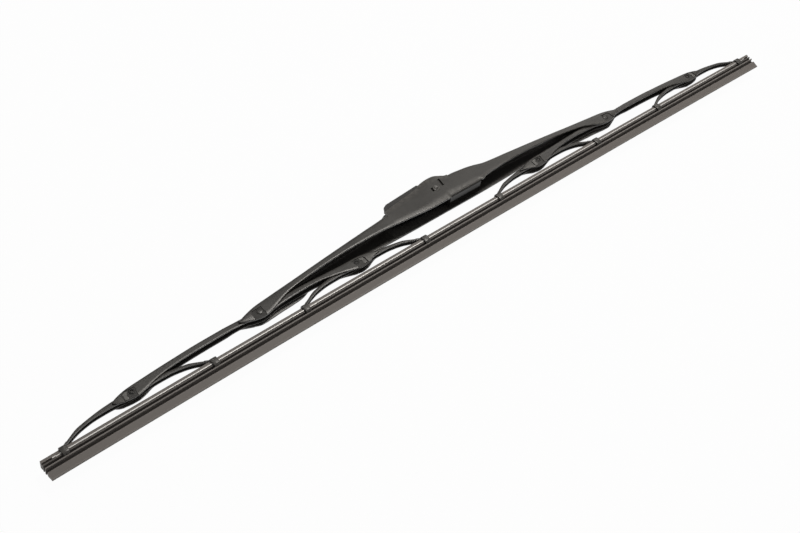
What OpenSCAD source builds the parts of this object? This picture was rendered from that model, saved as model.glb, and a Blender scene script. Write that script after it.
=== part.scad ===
// Bracketed wiper blade, lying on its side: X runs along the blade, +Y points from the
// rubber lip to the arm side and +Z is the hinge direction. The origin is the arm pin's centre.

/* [Rubber] */
// Length of the rubber squeegee
blade_len = 600; // [540:1:660]
// Thickness of the rubber head across the blade
head_t = 6.3; // [5.8:0.1:6.8]
// Height of the squeegee from head to wiping lip
lip_h = 12; // [11.6:0.1:14]
// Thickness of the top plate of the head
top_plate = 1.7; // [1.3:0.1:2]
// Thickness of the second plate, under the flexor strips
second_plate = 1.0; // [0.8:0.05:1.2]
// Thickness of the wiping lip at its edge
lip_t = 0.9; // [0.7:0.1:1.2]
// How far the ends of the free blade lie below its middle
bow = 1.8; // [0.6:0.1:3]

/* [Flexor strips] */
// Length of each stainless strip
flexor_len = 588; // [520:1:600]
// Thickness of each strip
flexor_t = 0.9; // [0.7:0.05:1.1]
// Width of each strip
flexor_w = 2.2; // [1.8:0.1:2.3]
// How far a strip stands out of the rubber head
flexor_proud = 0.35; // [0.2:0.05:0.5]

/* [Claws] */
// Distance between the two claws of a yoke
claw_span = 94.6; // [92:0.2:97]
// Length of a claw along the blade
claw_len = 4.2; // [3.6:0.1:5]
// Sheet thickness of a claw
claw_t = 0.85; // [0.7:0.05:1]
// Room between a claw and the strips
claw_gap = 0.15; // [0.1:0.01:0.2]

/* [Lever pivots] */
// Distance from the middle of the blade to an outer yoke pivot
outer_x = 239.5; // [237:0.5:242]
// Distance from the middle of the blade to an inner yoke pivot
inner_x = 80; // [79:0.5:82]
// Distance from the middle of the blade to a secondary lever's pivot
main_x = 151; // [149:0.5:153]
// Height of a yoke's pivot above the line of its claws
yoke_pivot_h = 8.75; // [8.65:0.05:8.85]
// Height of the main pivots above the middle of the rubber head
main_pivot_h = 11.4; // [11.3:0.05:11.6]
// Height of the arm pin above the middle of the rubber head
pin_h = 25.2; // [24.9:0.1:25.7]

/* [Levers] */
// Outer width of the primary lever at its middle
primary_w = 14; // [13.4:0.1:15]
// Outer width of the primary lever at its pivots
primary_end_w = 7.8; // [7.6:0.1:8.4]
// Sheet thickness of the primary lever
primary_t = 1.2; // [1:0.05:1.25]
// Sheet thickness of the secondary levers
secondary_t = 0.9; // [0.8:0.05:0.95]
// Outer width of a yoke
yoke_w = 3.8; // [3.6:0.1:3.9]
// Sheet thickness of the yokes
yoke_t = 0.8; // [0.6:0.05:0.85]

/* [Rivets and liners] */
// Shank radius of a yoke rivet
yoke_rivet_r = 1.1; // [1:0.05:1.15]
// Shank radius of a main rivet
main_rivet_r = 1.25; // [1.1:0.05:1.3]
// Wall of a liner's barrel
liner_wall = 0.4; // [0.35:0.05:0.45]
// Thickness of a liner's side plate
liner_t = 0.22; // [0.15:0.01:0.24]
// Running clearance of the rivets in their liners
run_gap = 0.05; // [0.03:0.01:0.08]
// Room beside a liner's side plate
side_gap = 0.08; // [0.06:0.01:0.12]
// Clearance of a part pressed or riveted in its hole
seat_gap = 0.02; // [0.01:0.01:0.04]

/* [Arm adapter] */
// Radius of the arm pin
pin_r = 2.4; // [2.2:0.1:2.5]
// Thickness of a pin head
pin_head_t = 0.8; // [0.6:0.05:1]
// Inner width between the adapter's cheeks, for the arm's hook
hook_w = 9.2; // [9:0.1:9.4]
// Thickness of an adapter cheek
cheek_t = 0.9; // [0.8:0.05:1]

/* [Hidden] */
$fn = 48;
steel = [0.07, 0.07, 0.07];
far = 60; // reach of a cutting shape
eps = 0.01;

// half widths
yoke_hw = yoke_w / 2;
joint_room = liner_t + side_gap; // between a child's wall and its parent's wall
sec_end_hw = yoke_hw + joint_room + secondary_t; // secondary at its yokes
sec_mid_hw = primary_end_w / 2 - primary_t - joint_room; // secondary at its own pivot
main_hw = primary_end_w / 2;
centre_hw = primary_w / 2;

// liner barrels and the holes for them
yoke_bore = yoke_rivet_r + run_gap;
yoke_barrel_r = yoke_bore + liner_wall;
main_bore = main_rivet_r + run_gap;
main_barrel_r = main_bore + liner_wall;

// The blade lies on a wide arc, whose centre is under its middle
bow_r = (blade_len * blade_len / 4 + bow * bow) / (2 * bow);
function bow_turn(x) = asin(x / bow_r);
function bow_y(x) = bow_r * (cos(bow_turn(x)) - 1);

// A yoke stands on two claws, so it sits a little under the arc
claw_x = claw_span / 2;
yoke_sag = claw_x * claw_x / (2 * bow_r);
function pivot_x(x) = x + yoke_pivot_h * sin(bow_turn(x));
function pivot_y(x) = bow_y(x) - yoke_sag + yoke_pivot_h * cos(bow_turn(x));
in_y = pivot_y(inner_x);
out_y = pivot_y(outer_x);

// A smooth line through hand-set knots, with n steps between two knots
function between(a, b, c, d, t) =
    0.5 * (2 * b + (c - a) * t + (2 * a - 5 * b + 4 * c - d) * t * t
    + (3 * b - a - 3 * c + d) * t * t * t);
function smooth(k, n = 3) = let (m = len(k) - 1) concat(
    [for (i = [0:m - 1], j = [0:n - 1])
        between(k[max(i - 1, 0)], k[i], k[i + 1], k[min(i + 2, m)], j / n)],
    [k[m]]);
function backwards(k) = [for (i = [len(k) - 1:-1:0]) k[i]];
function mirrored(k) = [for (i = [len(k) - 1:-1:0]) [-k[i][0], k[i][1]]];
function moved(k, dx, dy) = [for (p = k) [p[0] + dx, p[1] + dy]];

// A shape drawn on the blade's side, from one height to another across the blade
module side_slab(points, z0, z1) {
    translate([0, 0, z0]) linear_extrude(z1 - z0) polygon(points);
}

// A shape drawn in plan: [distance along the blade, half width], both sides alike
module plan_slab(k, y0, y1) {
    outline = concat(k, backwards([for (p = k) [p[0], -p[1]]]));
    translate([0, y1, 0]) rotate([90, 0, 0]) linear_extrude(y1 - y0) polygon(outline);
}

function narrowed(k, t) = [for (p = k) [p[0], p[1] - t]];

// Everything below is drawn with y = 0 at the top of the rubber head, at its middle
module placed() {
    translate([0, -pin_h, 0]) children();
}

// Primary lever

tip_x = main_x + 14;
web_end_x = main_x + 3.5;
window_x0 = -41.5;
window_x1 = 14;
tab_x0 = 3;
tab_x1 = 30;
tab_y = pin_h - 11.5;
wall_mid_y = pin_h - 11.6;

primary_top_end = [[45, pin_h + 0.2], [54, pin_h - 0.7], [66, pin_h - 1.6], [84, pin_h - 2.9],
    [102, pin_h - 4.3], [120, main_pivot_h + 8], [main_x - 13, main_pivot_h + 6.7],
    [main_x - 1, main_pivot_h + 5.5], [main_x + 5, main_pivot_h + 4.3],
    [main_x + 11, main_pivot_h + 2.5], [tip_x, main_pivot_h + 0.9]];
primary_top_left = [[window_x0 - 0.5, pin_h + 2.8], [-36, pin_h + 3.7], [-13, pin_h + 6.6],
    [-9.5, pin_h + 8.1], [-5, pin_h + 9.1], [0, pin_h + 9.6]];
primary_top_right = [[5, pin_h + 9.2], [9, pin_h + 7.3], [12.5, pin_h + 5.4], [18, pin_h + 5.2],
    [24, pin_h + 4.5], [30, pin_h + 3.7], [36, pin_h + 2.4], [41, pin_h + 0.9]];
pivot_bulge = [[tip_x - 1, main_pivot_h - 0.4], [main_x + 7, main_pivot_h - 2.9],
    [main_x + 2, main_pivot_h - 4.3], [main_x - 4, main_pivot_h - 4.1],
    [main_x - 12, main_pivot_h - 1.4], [main_x - 21, main_pivot_h + 1.7],
    [main_x - 31, main_pivot_h + 3.35]];
near_arch = concat(pivot_bulge, [[102, pin_h - 8.7], [88, pin_h - 8], [77, pin_h - 7.8],
    [60, pin_h - 8.1], [46, pin_h - 8.8], [36, pin_h - 9.8]]);
far_bulge = [[tip_x - 1, main_pivot_h - 0.4], [main_x + 6, main_pivot_h - 3.2],
    [main_x + 1, main_pivot_h - 4.8], [main_x - 7, main_pivot_h - 4.3],
    [main_x - 15, main_pivot_h - 3.6], [main_x - 23, main_pivot_h - 3],
    [main_x - 31, main_pivot_h - 2], [main_x - 38, main_pivot_h + 0.6],
    [main_x - 44, main_pivot_h + 3.4]];
far_arch = concat(far_bulge, [[98, pin_h - 8.8], [80, pin_h - 10.5], [54, pin_h - 11.2],
    [30, wall_mid_y]]);

// left to right along the top, then right to left along the bottom
primary_top = concat(mirrored(smooth(primary_top_end)), smooth(primary_top_left),
    smooth(primary_top_right), smooth(primary_top_end));
near_bottom = concat(smooth(near_arch), [[tab_x1 + 0.2, pin_h - 10.6], [tab_x1, tab_y],
    [tab_x0, tab_y], [tab_x0 - 1, wall_mid_y], [-12, wall_mid_y], [-18, wall_mid_y + 0.3],
    [-26, wall_mid_y + 1]], mirrored(smooth(near_arch)));
far_bottom = concat(smooth(far_arch), mirrored(smooth(far_arch)));
primary_plan_half = [[60, centre_hw], [110, centre_hw - 1.8], [main_x - 11, main_hw],
    [tip_x + 1, main_hw]];
primary_plan = concat(mirrored(primary_plan_half), primary_plan_half);
web_in_plan = narrowed(primary_plan, primary_t);
arm_recess_y = pin_h - 3;

module pivot_hole(x, y, r) {
    translate([x, y, -far / 2]) cylinder(r = r, h = far);
}

// a slot pressed through both walls beside a pivot
module wall_slot(x, y, w, h, turn) {
    translate([x, y, 0]) rotate([0, 0, turn]) cube([w, h, far], center = true);
}

module primary_shell() {
    intersection() {
        union() {
            side_slab(concat(primary_top, near_bottom), 0, centre_hw);
            side_slab(concat(primary_top, far_bottom), -centre_hw, 0);
        }
        plan_slab(primary_plan, -far, far);
    }
}

module primary_inside() {
    inner_top = moved(primary_top, 0, -primary_t);
    // under the top web
    intersection() {
        side_slab(concat([[-tip_x - 9, -far], [-tip_x - 9, 0]], inner_top,
            [[tip_x + 9, 0], [tip_x + 9, -far]]), -far, far);
        plan_slab(web_in_plan, -far, far);
    }
    // the window over the adapter and the open ends beyond the web
    for (span = [[window_x0, window_x1], [web_end_x, tip_x + 5], [-tip_x - 5, -web_end_x]])
        intersection() {
            translate([span[0], -far, -far]) cube([span[1] - span[0], 2 * far, 2 * far]);
            plan_slab(web_in_plan, -far, far);
        }
}

// the lug folded in from the near wall, which closes the channel beside the pin
module folded_lug() {
    translate([tab_x0, tab_y, -primary_t * 2.5])
        cube([tab_x1 - tab_x0, primary_t, centre_hw - primary_t / 2 + primary_t * 2.5]);
}

module primary_lever() {
    color(steel) difference() {
        union() {
            difference() {
                primary_shell();
                primary_inside();
            }
            folded_lug();
        }
        for (s = [-1, 1]) pivot_hole(s * main_x, main_pivot_h, main_rivet_r + seat_gap);
        pivot_hole(0, pin_h, pin_r + seat_gap);
        wall_slot(6.9, pin_h + 2.6, 0.9, 5.6, 12);
        wall_slot(-5.2, pin_h + 0.6, 1.1, 3, 20);
    }
}

// Secondary levers, drawn on the right and mirrored to the left

in_tip = inner_x - 17.9;
out_tip = outer_x + 12.5;
sec_top = [[in_tip, in_y - 0.8], [in_tip + 3.6, in_y + 1], [inner_x - 10, in_y + 2.5],
    [inner_x - 3, in_y + 3.5], [inner_x + 10, in_y + 3.8], [105, main_pivot_h + 1.6],
    [120, main_pivot_h + 2.2], [main_x - 11, main_pivot_h + 2.5],
    [main_x, main_pivot_h + 2.6], [main_x + 14, main_pivot_h + 3],
    [180, main_pivot_h + 2.85], [195, main_pivot_h + 2.6], [205, main_pivot_h + 2.1],
    [218, main_pivot_h + 1.4], [outer_x - 9.5, out_y + 4.4], [outer_x + 0.5, out_y + 3.6],
    [outer_x + 5.5, out_y + 2.7], [outer_x + 10.5, out_y + 1.1], [out_tip, out_y - 0.7]];
sec_bottom = [[out_tip, out_y - 0.7], [outer_x + 9, out_y - 3], [outer_x + 3.5, out_y - 4.15],
    [outer_x - 2, out_y - 4.25], [outer_x - 7, out_y - 3.15], [outer_x - 13, out_y - 1.25],
    [217, main_pivot_h - 3.2], [205, main_pivot_h - 2], [190, main_pivot_h - 1.4],
    [175, main_pivot_h - 1.1], [main_x + 18, main_pivot_h - 0.95],
    [main_x + 10, main_pivot_h - 1.5], [main_x + 5, main_pivot_h - 2.9],
    [main_x, main_pivot_h - 3.8], [main_x - 5, main_pivot_h - 3.4],
    [main_x - 13, main_pivot_h - 1.9], [125, main_pivot_h - 1.3], [110, main_pivot_h - 1.3],
    [inner_x + 19, in_y - 0.1], [inner_x + 11.5, in_y - 1.7], [inner_x + 7, in_y - 3],
    [inner_x + 3.5, in_y - 4.1], [inner_x - 0.5, in_y - 5], [inner_x - 4, in_y - 4.9],
    [inner_x - 7.5, in_y - 4], [inner_x - 11, in_y - 2.5], [inner_x - 14, in_y - 1.5],
    [in_tip, in_y - 0.8]];
sec_plan = [[in_tip - 1, sec_end_hw], [main_x - 28, sec_end_hw], [main_x - 12, sec_mid_hw],
    [main_x + 15, sec_mid_hw], [main_x + 24, sec_end_hw - 0.1], [out_tip + 1, sec_end_hw]];
sec_web_x0 = inner_x - 4;
sec_web_x1 = outer_x + 1;

module secondary_lever() {
    top = smooth(sec_top);
    inner_plan = narrowed(sec_plan, secondary_t);
    color(steel) difference() {
        intersection() {
            side_slab(concat(top, smooth(sec_bottom)), -far, far);
            plan_slab(sec_plan, -far, far);
        }
        // the channel under the web
        intersection() {
            side_slab(concat([[in_tip - 9, -far], [in_tip - 9, 0]],
                moved(top, 0, -secondary_t), [[out_tip + 9, 0], [out_tip + 9, -far]]),
                -far, far);
            plan_slab(inner_plan, -far, far);
        }
        // the open ends, where the yokes come out
        for (span = [[in_tip - 5, sec_web_x0], [sec_web_x1, out_tip + 5]])
            intersection() {
                translate([span[0], -far, -far])
                    cube([span[1] - span[0], 2 * far, 2 * far]);
                plan_slab(inner_plan, -far, far);
            }
        pivot_hole(main_x, main_pivot_h, main_barrel_r + seat_gap);
        for (x = [inner_x, outer_x]) pivot_hole(pivot_x(x), pivot_y(x), yoke_rivet_r + seat_gap);
        // windows that show the liner beside each yoke rivet
        wall_slot(inner_x - 3.6, in_y - 0.6, 1.5, 4.2, -14);
        wall_slot(outer_x + 3.6, out_y - 0.6, 1.5, 4.2, 14);
    }
}

// Yokes, drawn with x = 0 at the pivot and y = 0 on the line of the claws

strip_out = head_t / 2 + flexor_proud; // outer edge of a flexor strip
claw_in = strip_out + claw_gap;
claw_out = claw_in + claw_t;
slot_bottom = top_plate + flexor_t + 0.1;
jaw_y = slot_bottom + second_plate + 0.1;
bridge_y = 0.2;

yoke_top_half = [[0, yoke_pivot_h + 2.2], [6, yoke_pivot_h + 2], [15.5, yoke_pivot_h + 1.4],
    [20.5, yoke_pivot_h + 0.9], [25.5, yoke_pivot_h + 0.15], [30.5, yoke_pivot_h - 0.75],
    [claw_x - 11.8, yoke_pivot_h - 1.9], [claw_x - 6.8, 4.6], [claw_x - 1.8, 2.1],
    [claw_x - 0.8, bridge_y + claw_t]];
yoke_bottom_half = [[claw_x - 2.1, bridge_y + claw_t / 2], [claw_x - 4.4, 1.7],
    [claw_x - 8.5, 3.5], [claw_x - 14, 5.25], [26, 6.5], [20, 6.8], [14, 6.8], [9, 6.45],
    [5, 6], [0, 5.7]];
yoke_cavity_x = claw_x - 3.4;

module claw() {
    for (s = [-1, 1]) scale([1, 1, s]) translate([-claw_len / 2, 0, 0])
        rotate([90, 0, 90]) linear_extrude(claw_len) polygon([
            [bridge_y + claw_t, -eps], [bridge_y + claw_t, claw_out - 0.7],
            [bridge_y + claw_t - 0.25, claw_out - 0.2], [bridge_y + claw_t - 0.8, claw_out],
            [-jaw_y - claw_t + 0.3, claw_out], [-jaw_y - claw_t, claw_out - 0.4],
            [-jaw_y - claw_t, claw_in - 1.4], [-jaw_y - 0.3, claw_in - 1.6],
            [-jaw_y, claw_in - 1.3], [-jaw_y, claw_in], [bridge_y, claw_in], [bridge_y, -eps]]);
}

module yoke() {
    translate([0, -yoke_pivot_h, 0]) yoke_body();
}

module yoke_body() {
    top = smooth(yoke_top_half);
    bottom = smooth(yoke_bottom_half);
    inner_top = moved(top, 0, -yoke_t);
    inner_reach = [for (p = inner_top) if (p[0] < yoke_cavity_x) p];
    color(steel) difference() {
        union() {
            difference() {
                side_slab(concat(mirrored(top), top, bottom, mirrored(bottom)),
                    -yoke_hw, yoke_hw);
                // the channel under the web
                side_slab(concat([[-yoke_cavity_x, -far]], mirrored(inner_reach),
                    inner_reach, [[yoke_cavity_x, -far]]),
                    yoke_t - yoke_hw, yoke_hw - yoke_t);
            }
            for (s = [-1, 1]) translate([s * claw_x, 0, 0]) claw();
        }
        pivot_hole(0, yoke_pivot_h, yoke_barrel_r + seat_gap);
    }
}

// Rivets and liners, drawn round the pivot's axis at the origin

module tube(r, bore, h) {
    difference() {
        cylinder(r = r, h = h, center = true);
        cylinder(r = bore, h = h + 1, center = true);
    }
}

// hollow rivet, rolled over at both ends
module yoke_rivet() {
    head_r = yoke_rivet_r + 0.75;
    head_t = 0.45;
    color("dimgray") difference() {
        union() {
            cylinder(r = yoke_rivet_r, h = 2 * sec_end_hw, center = true);
            for (s = [-1, 1]) translate([0, 0, s * (sec_end_hw + head_t / 2)])
                cylinder(r = head_r, h = head_t, center = true);
        }
        for (s = [-1, 1]) translate([0, 0, s * (sec_end_hw + head_t)])
            cylinder(r = yoke_rivet_r - 0.35, h = 2 * sec_end_hw * 0.8, center = true);
    }
}

// solid rivet with domed heads
module main_rivet() {
    head_r = main_rivet_r + 1.2;
    head_t = 0.95;
    dome_r = (head_r * head_r + head_t * head_t) / (2 * head_t);
    color("dimgray") {
        cylinder(r = main_rivet_r, h = 2 * main_hw, center = true);
        for (s = [0, 180]) rotate([s, 0, 0]) translate([0, 0, main_hw])
            intersection() {
                translate([0, 0, head_t - dome_r]) sphere(r = dome_r);
                translate([0, 0, 0]) cylinder(r = head_r + 1, h = head_t + 1);
            }
    }
}

// plastic liner: a barrel with a side plate on each side of the inner lever
module liner(barrel_r, bore, inner_hw, plate_x, plate_h) {
    color([0.2, 0.2, 0.2]) difference() {
        union() {
            cylinder(r = barrel_r, h = 2 * inner_hw, center = true);
            for (s = [-1, 1]) translate([0, 0, s * (inner_hw + liner_t / 2)])
                linear_extrude(liner_t, center = true) polygon([
                    [plate_x[0], -plate_h / 2 + 0.6], [plate_x[0] + 0.6, -plate_h / 2],
                    [plate_x[1] - 0.6, -plate_h / 2], [plate_x[1], -plate_h / 2 + 0.6],
                    [plate_x[1], plate_h / 2 - 0.6], [plate_x[1] - 0.6, plate_h / 2],
                    [plate_x[0] + 0.6, plate_h / 2], [plate_x[0], plate_h / 2 - 0.6]]);
        }
        cylinder(r = bore, h = 2 * inner_hw + 3, center = true);
    }
}

// Arm adapter, drawn round the pin's axis at the origin

adapter_hw = hook_w / 2 + cheek_t;
cheek_side = concat([[-41, 2.4], [-40.3, 4.4], [-38.8, 6.7], [-36, 8], [-8.5, 9.9], [-5.5, 7.6],
    [2, 6.6]], [for (a = [50:-20:-90]) 6.8 * [cos(a), sin(a)] + [2, 0]], [[-34, -4.6], [-41, -1.6]]);
core_r = 4.2;
core_side = concat([[-36, core_r]],
    [for (a = [90:-22.5:-90]) core_r * [cos(a), sin(a)] + [2, 0]], [[-4, -core_r], [-36, -2.2]]);

module arm_adapter() {
    color([0.05, 0.05, 0.05]) difference() {
        union() {
            for (s = [-1, 1]) translate([0, 0, s * (adapter_hw - cheek_t / 2)])
                linear_extrude(cheek_t, center = true) polygon(cheek_side);
            translate([0, 0, -hook_w / 2 - eps]) linear_extrude(hook_w + 2 * eps)
                polygon(core_side);
        }
        cylinder(r = pin_r + run_gap, h = far, center = true);
    }
}

module arm_pin() {
    head_r = pin_r + 1.1;
    color("dimgray") {
        cylinder(r = pin_r, h = 2 * centre_hw, center = true);
        for (s = [-1, 1]) translate([0, 0, s * (centre_hw + pin_head_t / 2)])
            cylinder(r = head_r, h = pin_head_t, center = true);
    }
}

// Rubber and flexor strips

// A profile drawn as [height, distance from the middle plane], carried along the arc in
// straight steps, each of which ends on an upright section. The profile is convex
module along_bow(k, length) {
    steps = 12;
    n = len(k);
    polyhedron(
        [for (i = [0:steps], p = k)
            let (x = length * (i / steps - 0.5)) [x, bow_y(x) + p[0], p[1]]],
        concat([[for (j = [0:n - 1]) j]], [[for (j = [n - 1:-1:0]) steps * n + j]],
            [for (i = [0:steps - 1], j = [0:n - 1])
                [i * n + (j + 1) % n, i * n + j, i * n + j + n, i * n + (j + 1) % n + n]]));
}

module on_bow(x) {
    translate([x, bow_y(x), 0]) rotate([0, 0, -bow_turn(x)]) children();
}

module rubber_squeegee() {
    neck = 0.65;
    slot_in = strip_out - flexor_w - 0.1;
    rib_y = jaw_y + 1.05;
    lip_y = rib_y + 2.1;
    head = head_t / 2;
    // bands from the head down: [height, half width] at a band's top and at its bottom
    bands = [[[0, head], [-top_plate, head]], [[eps - top_plate, slot_in], [-slot_bottom - eps, slot_in]],
        [[-slot_bottom, head], [-slot_bottom - second_plate, head]],
        [[eps - slot_bottom - second_plate, neck], [-rib_y - eps, neck]],
        [[-rib_y, head - 0.75], [-rib_y - 0.75, head - 0.75]],
        [[eps - rib_y - 0.75, neck], [-lip_y - eps, neck]],
        [[-lip_y, head - 1.4], [1 - lip_h, lip_t / 2 + 0.15]],
        [[1 - lip_h, lip_t / 2 + 0.15], [-lip_h, lip_t / 2]]];
    color([0.12, 0.1, 0.1]) for (b = bands)
        along_bow([b[0], b[1], [b[1][0], -b[1][1]], [b[0][0], -b[0][1]]], blade_len);
}

module flexor(s) {
    slot_y = top_plate + 0.05;
    notch = 2.5;
    notch_x = flexor_len / 2 - 2 - notch / 2;
    edges = s > 0 ? [strip_out - flexor_w, strip_out] : [-strip_out, flexor_w - strip_out];
    color("silver") difference() {
        along_bow([[-slot_y, edges[1]], [-slot_y - flexor_t, edges[1]],
            [-slot_y - flexor_t, edges[0]], [-slot_y, edges[0]]], flexor_len);
        // the notch at each end that stops at a claw
        for (x = [-notch_x, notch_x]) on_bow(x)
            translate([-notch / 2, -slot_y - flexor_t - 1, s > 0 ? strip_out - 0.5 : -strip_out - 1])
                cube([notch, flexor_t + 2, 1.5]);
    }
}

main_plate = [-3.2, 3.2];
yoke_plate = [-2.6, 5];

module at_main(s) {
    translate([s * main_x, main_pivot_h, 0]) children();
}

module at_yoke(x) {
    translate([pivot_x(x), pivot_y(x), 0]) rotate([0, 0, -bow_turn(x)]) children();
}

module main_liner() {
    liner(main_barrel_r, main_bore, sec_mid_hw, main_plate, 5);
}

module yoke_liner() {
    liner(yoke_barrel_r, yoke_bore, yoke_hw, yoke_plate, 4.2);
}

placed() primary_lever();
placed() mirror([1, 0, 0]) secondary_lever();  // left_secondary_lever
placed() secondary_lever();  // right_secondary_lever
placed() at_yoke(-outer_x) yoke();  // left_outer_yoke
placed() at_yoke(-inner_x) yoke();  // left_inner_yoke
placed() at_yoke(inner_x) yoke();  // right_inner_yoke
placed() at_yoke(outer_x) yoke();  // right_outer_yoke
placed() at_main(-1) main_rivet();  // left_main_rivet
placed() at_main(1) main_rivet();  // right_main_rivet
placed() at_yoke(-outer_x) yoke_rivet();  // left_outer_rivet
placed() at_yoke(-inner_x) yoke_rivet();  // left_inner_rivet
placed() at_yoke(inner_x) yoke_rivet();  // right_inner_rivet
placed() at_yoke(outer_x) yoke_rivet();  // right_outer_rivet
placed() at_main(-1) main_liner();  // left_main_liner
placed() at_main(1) main_liner();  // right_main_liner
placed() at_yoke(-outer_x) mirror([1, 0, 0]) yoke_liner();  // left_outer_liner
placed() at_yoke(-inner_x) yoke_liner();  // left_inner_liner
placed() at_yoke(inner_x) mirror([1, 0, 0]) yoke_liner();  // right_inner_liner
placed() at_yoke(outer_x) yoke_liner();  // right_outer_liner
arm_pin();
arm_adapter();
placed() rubber_squeegee();
placed() flexor(1);  // upper_flexor
placed() flexor(-1);  // lower_flexor
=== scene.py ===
import math

import bpy
import numpy as np
from mathutils import Matrix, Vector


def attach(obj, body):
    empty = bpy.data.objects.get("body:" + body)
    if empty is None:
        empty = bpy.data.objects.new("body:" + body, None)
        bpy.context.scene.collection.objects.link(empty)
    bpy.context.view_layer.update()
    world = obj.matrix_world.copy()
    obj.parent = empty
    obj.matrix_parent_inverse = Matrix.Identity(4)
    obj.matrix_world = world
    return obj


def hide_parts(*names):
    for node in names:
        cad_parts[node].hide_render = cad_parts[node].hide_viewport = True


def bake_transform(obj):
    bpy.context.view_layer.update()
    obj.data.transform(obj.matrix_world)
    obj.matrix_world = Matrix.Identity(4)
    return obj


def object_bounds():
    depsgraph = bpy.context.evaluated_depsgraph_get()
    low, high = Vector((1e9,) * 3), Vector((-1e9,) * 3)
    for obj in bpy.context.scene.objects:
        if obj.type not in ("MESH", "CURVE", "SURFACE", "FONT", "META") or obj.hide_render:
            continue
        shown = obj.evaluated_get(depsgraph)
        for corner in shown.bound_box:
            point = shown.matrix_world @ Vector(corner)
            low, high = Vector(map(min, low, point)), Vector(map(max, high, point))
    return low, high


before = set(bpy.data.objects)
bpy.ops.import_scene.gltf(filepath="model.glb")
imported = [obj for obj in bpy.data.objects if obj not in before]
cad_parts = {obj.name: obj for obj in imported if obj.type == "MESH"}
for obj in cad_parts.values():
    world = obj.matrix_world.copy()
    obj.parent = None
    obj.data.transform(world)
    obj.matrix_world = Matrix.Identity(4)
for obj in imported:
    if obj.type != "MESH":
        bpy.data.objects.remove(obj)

cadBox = [list(corner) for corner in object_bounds()]
print("frame loaded:", len(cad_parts), "nodes")

# All shapes below are drawn in millimetres with y = 0 at the top of the rubber head, at the
# middle of the blade, and moved into the frame when their mesh is made
blade = dict(length=600.0, bow=1.8, pinHeight=25.2, mainX=151.0, mainHeight=11.4,
             yokeHeight=8.75, outerX=239.5, innerX=80.0, clawSpan=94.6)
bowRadius = (blade["length"] ** 2 / 4 + blade["bow"] ** 2) / (2 * blade["bow"])
sides = (("left", -1), ("right", 1))
yokePlaces = (("Outer", blade["outerX"]), ("Inner", blade["innerX"]))


def bowTurn(x):
    return np.arcsin(np.asarray(x) / bowRadius)  # t = asin(x / R)


def bowHeight(x):
    return bowRadius * (np.cos(bowTurn(x)) - 1)  # y = R (cos t - 1)


# (x + h sin t, y(x) - c^2 / 8R + h cos t): the pivot of the yoke that stands over x
def yokePivot(x):
    sag = blade["clawSpan"] ** 2 / (8 * bowRadius)
    turn = bowTurn(x)
    return np.array([x + blade["yokeHeight"] * math.sin(turn),
                     float(bowHeight(x)) - sag + blade["yokeHeight"] * math.cos(turn)])


# Camera, fitted to the photograph: lens and sensor in mm, place in metres, angles in degrees
view = dict(lens=53.215, sensor=36.0, place=(-0.421161, -0.341173, 0.546358),
            azimuth=-49.632, elevation=48.941, roll=11.359)


def addCamera():
    az, el, roll = (math.radians(view[k]) for k in ("azimuth", "elevation", "roll"))
    back = np.array([math.sin(az) * math.cos(el), -math.cos(az) * math.cos(el), math.sin(el)])
    right = np.array([math.cos(az), math.sin(az), 0])
    up = np.cross(back, right)
    right, up = (math.cos(roll) * right + math.sin(roll) * up,
                 math.cos(roll) * up - math.sin(roll) * right)
    data = bpy.data.cameras.new("bladeCamera")
    data.lens = view["lens"]
    data.sensor_width = view["sensor"]
    data.sensor_fit = "HORIZONTAL"
    camera = bpy.data.objects.new("bladeCamera", data)
    bpy.context.scene.collection.objects.link(camera)
    turn = Matrix([list(row) for row in np.stack([right, up, back], 1)]).to_4x4()
    camera.matrix_world = Matrix.Translation(view["place"]) @ turn
    bpy.context.scene.camera = camera


addCamera()
print("camera placed")

# Light: a wide soft lamp overhead, one beyond the right end and a small one that glances off
# the left end, in a world that is bright above and dark towards the horizon. Powers are in
# watts, sizes and places in metres.
studio = dict(topPower=8.2, topSize=0.4, topPlace=(0.45, 0.2, 1.3),
              rightPower=1.3, rightSize=0.5, rightPlace=(1.1, 0.65, 0.85),
              leftPower=0.3, leftSize=0.12, leftPlace=(0.09, 0.62, 0.99),
              warmth=(1.0, 0.962, 0.905), worldLow=0.05, worldHigh=0.34,
              floorColour=0.75, floorWhite=0.97, floorHalf=6.0, floorGap=0.0002)


def mathOf(tree, operation, first, second, clamp=False):
    node = tree.nodes.new("ShaderNodeMath")
    node.operation = operation
    node.use_clamp = clamp
    for socket, value in zip(node.inputs, (first, second)):
        if isinstance(value, float):
            socket.default_value = value
        else:
            tree.links.new(value, socket)
    return node.outputs[0]


# 1 for camera, glossy and transmission rays, 0 for the rest
def seenDirectly(tree):
    ray = tree.nodes.new("ShaderNodeLightPath").outputs
    seen = mathOf(tree, "MAXIMUM", ray["Is Camera Ray"], ray["Is Glossy Ray"])
    return mathOf(tree, "MAXIMUM", seen, ray["Is Transmission Ray"])


def addLamp(name, power, size, place):
    data = bpy.data.lights.new(name, "AREA")
    data.energy = power
    data.color = studio["warmth"]
    data.size = size
    lamp = bpy.data.objects.new(name, data)
    bpy.context.scene.collection.objects.link(lamp)
    back = np.array(place) / np.linalg.norm(place)
    right = np.cross([0.0, 1.0, 0.0], back)
    right /= np.linalg.norm(right)
    turn = Matrix([list(r) for r in np.stack([right, np.cross(back, right), back], 1)]).to_4x4()
    lamp.matrix_world = Matrix.Translation(place) @ turn


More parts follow.
